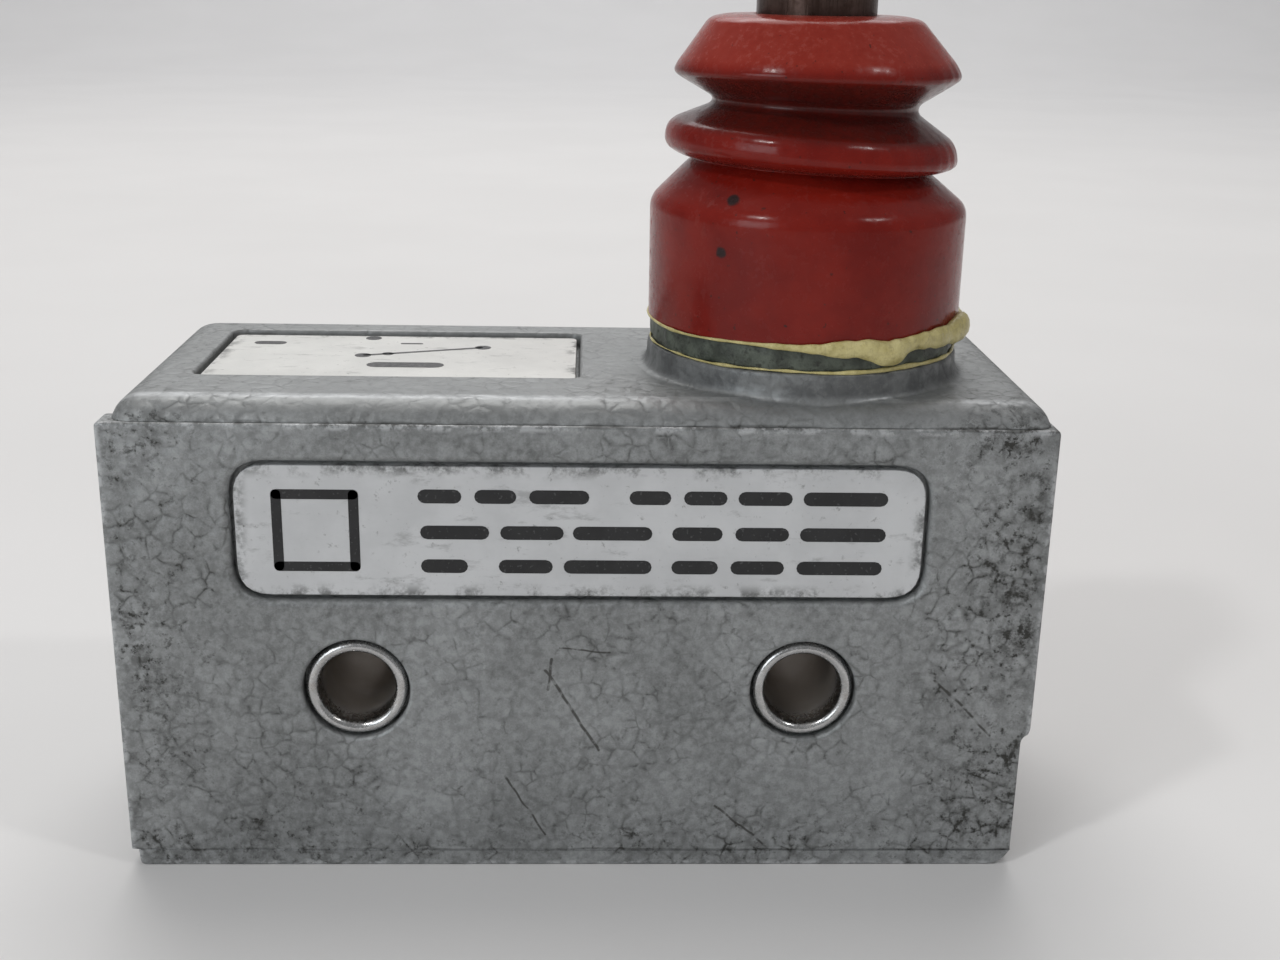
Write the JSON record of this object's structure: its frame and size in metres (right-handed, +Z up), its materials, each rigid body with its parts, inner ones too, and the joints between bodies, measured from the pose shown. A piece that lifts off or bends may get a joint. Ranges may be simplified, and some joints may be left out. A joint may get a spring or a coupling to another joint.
{
  "type": "limit switch",
  "caption": "Enclosed snap-action limit switch: grey die-cast case with through eyelets, front label, and a steel plunger in a red rubber bellows boot.",
  "frame": {"origin": "bottom centre of the case, midway between the two mounting eyelets, on the surface it stands on", "axes": "+X along the case towards the plunger end, -Y out of the labelled front face, +Z up along the plunger"},
  "size_m": [0.0522, 0.0212, 0.054],
  "materials": {
    "paint": "hammertone grey paint, worn and speckled",
    "red_rubber": "deep red, semi-gloss",
    "black_rubber": "matt",
    "adhesive": "matt, green-grey",
    "sealant": "cured resin, semi-gloss",
    "dark_steel": "dark turned steel",
    "bright_steel": "bright plated steel",
    "spring_steel": "drawn wire and stamped ring",
    "silver_label": "brushed foil label",
    "white_label": "printed white label",
    "brass": "turned or stamped brass",
    "spring_bronze": "rolled bronze strip",
    "silver": "silver contact metal",
    "phenolic": "moulded phenolic",
    "fibre": "insulating sheet"
  },
  "bodies": {
    "case": {"housing": "paint", "bottom_plate": "paint", "front_cover": "paint", "cover_gasket": "black_rubber", "rating_label": "silver_label", "circuit_label": "white_label", "mounting_eyelet_left": "bright_steel", "mounting_eyelet_right": "bright_steel", "lead_entry_bush": "black_rubber", "plunger_bushing": "brass", "bushing_retaining_ring": "spring_steel", "boot": "red_rubber", "boot_adhesive_band": "adhesive", "sealant_bead": "sealant", "return_spring": "spring_steel", "overtravel_spring": "spring_steel", "switch_base": "phenolic", "switch_base_cover": "phenolic", "common_terminal": "brass", "nc_terminal": "brass", "no_terminal": "brass", "nc_contact": "silver", "no_contact": "silver", "blade_anchor": "brass", "terminal_screw_common": "bright_steel", "terminal_screw_nc": "bright_steel", "terminal_screw_no": "bright_steel", "terminal_washer_common": "bright_steel", "terminal_washer_nc": "bright_steel", "terminal_washer_no": "bright_steel", "insulating_liner": "fibre"},
    "plunger": {"plunger": "dark_steel", "plunger_stop_ring": "spring_steel", "return_spring_ring": "spring_steel"},
    "pin": {"switch_pin": "phenolic", "overtravel_seat": "brass"},
    "blade": {"contact_blade": "spring_bronze", "moving_contact": "silver", "snap_spring": "spring_bronze"}
  },
  "joints": [
    {"name": "plunger_slide", "type": "slide", "parent": "case", "child": "plunger", "axis": [0, 0, -1], "range_m": [0, 0.0055], "stiffness_N_per_m": 1200, "springref_m": -0.002, "deforming": ["boot", "return_spring", "overtravel_spring"]},
    {"name": "pin_slide", "type": "slide", "parent": "case", "child": "pin", "axis": [0, 0, -1], "range_m": [0, 0.0004]},
    {"name": "blade_hinge", "type": "hinge", "parent": "case", "child": "blade", "pos_m": [0.007, 0, 0.0163], "axis": [0, 1, 0], "range_deg": [0, 3.82]}
  ],
  "couplings": [
    {"joint": "pin_slide", "follows": "plunger_slide", "ratio": 0.0727},
    {"joint": "blade_hinge", "follows": "plunger_slide", "rad_per_m": 12.12}
  ]
}
